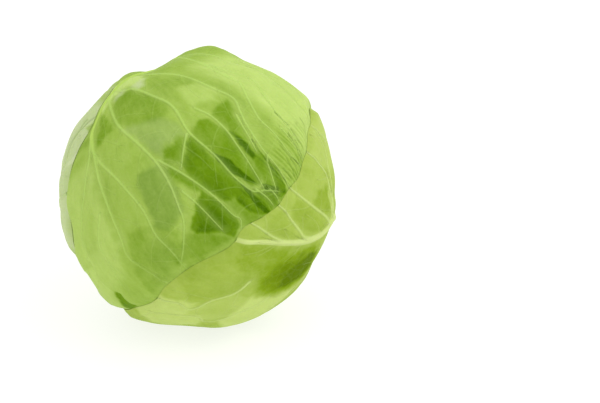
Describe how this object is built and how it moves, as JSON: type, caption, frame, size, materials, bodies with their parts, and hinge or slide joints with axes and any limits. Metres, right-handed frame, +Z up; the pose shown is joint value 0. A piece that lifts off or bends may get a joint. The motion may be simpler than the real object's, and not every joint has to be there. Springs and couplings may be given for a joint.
{
  "type": "cabbage head",
  "caption": "Whole head of green cabbage with a cut stem, wrapped in broad ribbed outer leaves, lying on its side on a small flat spot.",
  "frame": {"origin": "on the flat spot that the head rests on, under the middle of the head", "axes": "+Z up from the resting surface, the cut stem towards +X and +Y and a little down, the tip of the head towards -X and -Y"},
  "size_m": [0.1724, 0.1723, 0.169],
  "materials": {
    "heart": "pale, firm, tightly folded inner leaves",
    "stem": "cut, dry and fibrous",
    "inner_leaf": "waxy leaf",
    "back_leaf": "waxy leaf",
    "cap_leaf": "waxy green leaf with pale veins",
    "pale_leaf": "pale waxy leaf",
    "outer_leaf": "waxy leaf with a thick pale rib"
  },
  "bodies": {
    "root": {"heart": "heart", "stem": "stem", "leaf_lower_inner": "inner_leaf", "leaf_right_inner": "inner_leaf", "leaf_back_inner": "back_leaf", "leaf_cap": "cap_leaf", "leaf_left_outer": "pale_leaf", "leaf_right_outer": "outer_leaf"}
  },
  "joints": []
}
